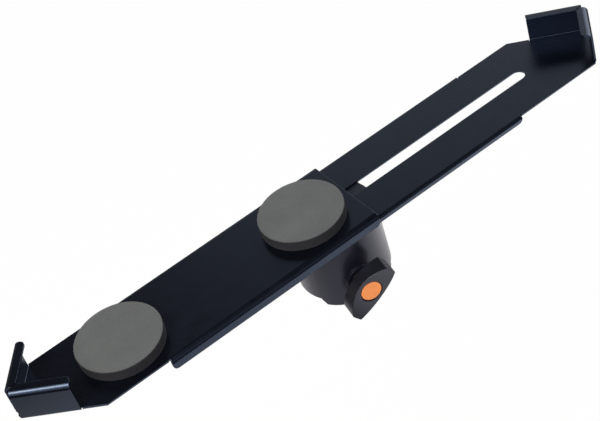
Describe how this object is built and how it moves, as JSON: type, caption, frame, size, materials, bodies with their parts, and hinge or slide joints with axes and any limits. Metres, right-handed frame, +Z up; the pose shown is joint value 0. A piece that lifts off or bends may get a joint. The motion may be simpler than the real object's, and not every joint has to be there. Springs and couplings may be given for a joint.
{
  "type": "tablet holder",
  "caption": "Telescoping plate tablet holder with hooked corner brackets, round foam pads and a stud socket with a clamp knob underneath.",
  "frame": {"origin": "centre of the stud socket's mouth, on the socket's axis", "axes": "+X along the bar towards the sliding plate's bracket, +Y away from the clamp knob's side, +Z up from the socket towards the tablet"},
  "size_m": [0.4082, 0.0788, 0.0745],
  "materials": {
    "outer_powder_coat": "semi-gloss powder coat",
    "slide_powder_coat": "semi-gloss powder coat",
    "foam": "matt closed-cell foam",
    "glide_plastic": "black acetal",
    "backing_steel": "semi-gloss powder coat",
    "bolt_steel": "plain steel",
    "insert_brass": "turned brass",
    "housing_plastic": "satin moulded",
    "sleeve_steel": "bored tube",
    "shoe_brass": "turned brass",
    "ring_steel": "spring steel",
    "stud_steel": "zinc plated",
    "knob_plastic": "satin moulded",
    "cap_orange": "satin orange"
  },
  "bodies": {
    "holder": {"outer_plate": "outer_powder_coat", "upper_pad": "foam", "lower_pad": "foam", "front_glide_strip": "glide_plastic", "rear_glide_strip": "glide_plastic", "guide_block": "glide_plastic", "backing_plate": "backing_steel", "plate_bolt_1": "bolt_steel", "plate_bolt_2": "bolt_steel", "bolt_insert_1": "insert_brass", "bolt_insert_2": "insert_brass", "housing": "housing_plastic", "socket_sleeve": "sleeve_steel", "clamp_insert": "insert_brass"},
    "slider": {"slide_plate": "slide_powder_coat"},
    "clamp": {"clamp_shoe": "shoe_brass", "shoe_ring": "ring_steel"},
    "knob": {"clamp_stud": "stud_steel", "knob_body": "knob_plastic", "knob_cap": "cap_orange"}
  },
  "joints": [
    {"name": "bar_slide", "type": "slide", "parent": "holder", "child": "slider", "axis": [1, 0, 0], "range_m": [-0.135, 0.001]},
    {"name": "clamp_slide", "type": "slide", "parent": "holder", "child": "clamp", "axis": [0.1822, 0.9833, 0], "range_m": [-0.00187, 0.0015]},
    {"name": "knob_turn", "type": "hinge", "parent": "clamp", "child": "knob", "pos_m": [-0.00756, -0.04081, 0.0134], "axis": [0.1822, 0.9833, 0], "range_deg": [-540, 432]}
  ],
  "couplings": [
    {"joint": "knob_turn", "follows": "clamp_slide", "rad_per_m": 5026.5}
  ]
}
